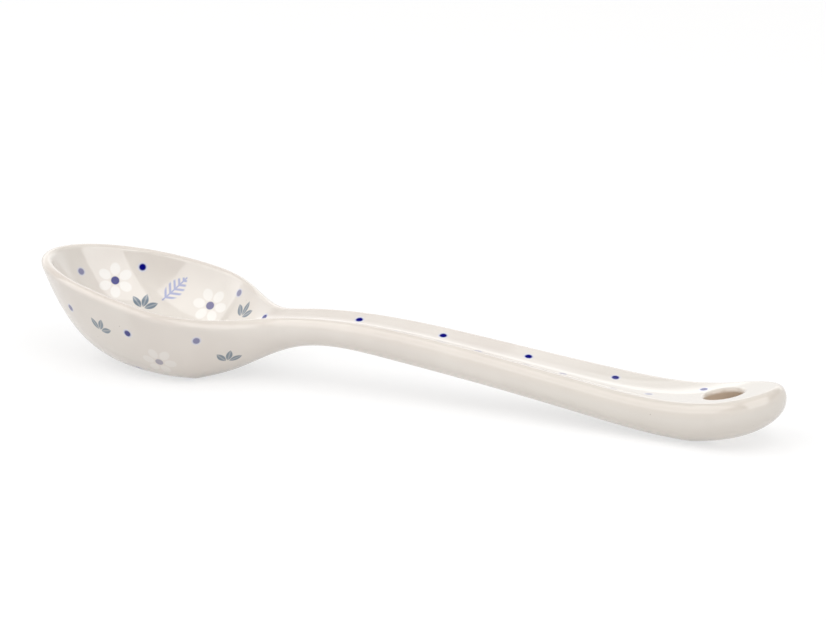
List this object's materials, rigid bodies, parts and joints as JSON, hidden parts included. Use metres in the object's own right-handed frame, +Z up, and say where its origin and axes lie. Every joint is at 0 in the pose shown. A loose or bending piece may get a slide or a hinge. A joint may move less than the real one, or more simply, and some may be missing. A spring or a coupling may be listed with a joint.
{
  "type": "serving spoon",
  "caption": "Glazed stoneware serving spoon: deep egg-shaped bowl with a rounded rim, and a curved, channelled handle that ends in a wide tail with a round hanging eye.",
  "frame": {"origin": "centre of the spoon's length and width, on the plane that it lies on", "axes": "+X from the tip of the bowl towards the tail of the handle, +Z up out of the bowl, +Y to the left seen from the bowl"},
  "size_m": [0.1601, 0.0364, 0.0211],
  "materials": {
    "bowl_glaze": "glossy transparent glaze over cream stoneware, with stamped cobalt dots and pale blossoms",
    "handle_glaze": "glossy transparent glaze over cream stoneware, with stamped cobalt dots in the channel",
    "slip_clay": "fired slip in the joint, glazed over where it shows"
  },
  "bodies": {
    "root": {"bowl": "bowl_glaze", "luting_slip": "slip_clay", "handle": "handle_glaze"}
  },
  "joints": []
}
